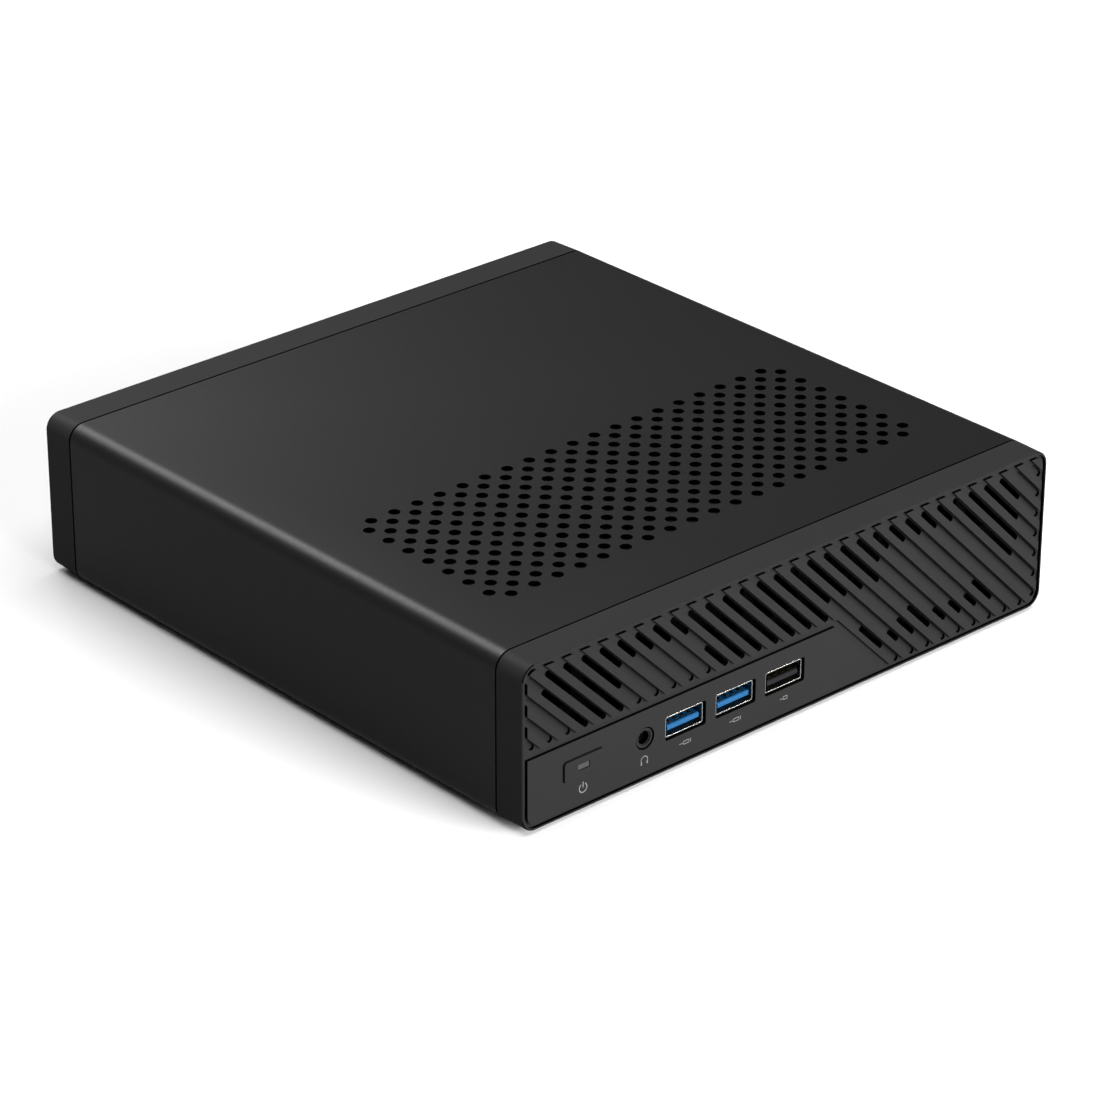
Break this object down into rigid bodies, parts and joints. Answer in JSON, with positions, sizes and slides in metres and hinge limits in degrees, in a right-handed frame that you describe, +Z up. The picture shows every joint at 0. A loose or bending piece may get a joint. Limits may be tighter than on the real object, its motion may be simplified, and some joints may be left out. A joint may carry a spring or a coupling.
{
  "type": "mini pc",
  "caption": "Flat square mini pc: perforated black metal sleeve, slanted-rib front with button, audio and USB sockets, and a chassis that slides out of the front.",
  "frame": {"origin": "middle of the footprint at the level that the feet stand on", "axes": "+Z up, the front face with the button and sockets towards -Y, +X to the right seen from the front"},
  "size_m": [0.189, 0.1966, 0.048],
  "materials": {
    "sleeve_metal": "fine matt black powder coat",
    "band_plastic": "fine matt moulded black",
    "dark_plastic": "black moulded",
    "foot_rubber": "matt black",
    "zinc_sheet": "zinc-plated sheet",
    "rear_paint": "black painted sheet",
    "bright_steel": "bright nickel-plated",
    "heatsink_aluminium": "plain extruded",
    "blue_plastic": "blue moulded",
    "circuit_board": "dark solder mask",
    "light_window": "milky clear"
  },
  "bodies": {
    "housing": {"sleeve": "sleeve_metal", "rear_collar": "band_plastic", "foot_front_left": "foot_rubber", "foot_front_right": "foot_rubber", "foot_rear_left": "foot_rubber", "foot_rear_right": "foot_rubber"},
    "chassis": {"front_bezel": "band_plastic", "front_shield": "zinc_sheet", "tray": "zinc_sheet", "network_socket_1": "zinc_sheet", "network_socket_2": "zinc_sheet", "rear_shield": "rear_paint", "mainboard": "circuit_board", "ssd_module": "circuit_board", "memory_module_1": "circuit_board", "memory_module_2": "circuit_board", "wireless_card": "circuit_board", "processor": "bright_steel", "coin_cell": "bright_steel", "video_socket": "bright_steel", "usb_c_socket_1": "bright_steel", "usb_c_socket_2": "bright_steel", "ssd_screw": "bright_steel", "board_screw_1": "bright_steel", "board_screw_2": "bright_steel", "board_screw_3": "bright_steel", "board_screw_4": "bright_steel", "usb_shell_front_1": "bright_steel", "usb_shell_front_2": "bright_steel", "usb_shell_front_3": "bright_steel", "usb_shell_rear_1": "bright_steel", "usb_shell_rear_2": "bright_steel", "usb_tongue_front_1": "blue_plastic", "usb_tongue_front_2": "blue_plastic", "usb_tongue_rear_1": "blue_plastic", "usb_tongue_rear_2": "blue_plastic", "usb_tongue_front_3": "dark_plastic", "audio_jack": "dark_plastic", "power_switch": "dark_plastic", "dc_inlet": "dark_plastic", "ssd_socket": "dark_plastic", "memory_socket": "dark_plastic", "coin_cell_holder": "dark_plastic", "blower_case": "dark_plastic", "blower_cover": "dark_plastic", "heatsink": "heatsink_aluminium"},
    "power_button": {"power_button": "band_plastic", "power_light": "light_window"},
    "blower_rotor": {"blower_rotor": "dark_plastic"},
    "release_latch": {"release_latch": "dark_plastic"}
  },
  "joints": [
    {"name": "chassis_slide", "type": "slide", "parent": "housing", "child": "chassis", "axis": [0, -1, 0], "range_m": [0, 0.15]},
    {"name": "power_button_press", "type": "slide", "parent": "chassis", "child": "power_button", "axis": [0, 1, 0], "range_m": [0, 0.0008], "stiffness_N_per_m": 600},
    {"name": "blower_spin", "type": "hinge", "parent": "chassis", "child": "blower_rotor", "pos_m": [-0.0465, -0.0347, 0.03], "axis": [0, 0, 1], "continuous": true},
    {"name": "release_latch_press", "type": "slide", "parent": "chassis", "child": "release_latch", "axis": [0, 0, -1], "range_m": [0, 0.0025], "stiffness_N_per_m": 400}
  ]
}
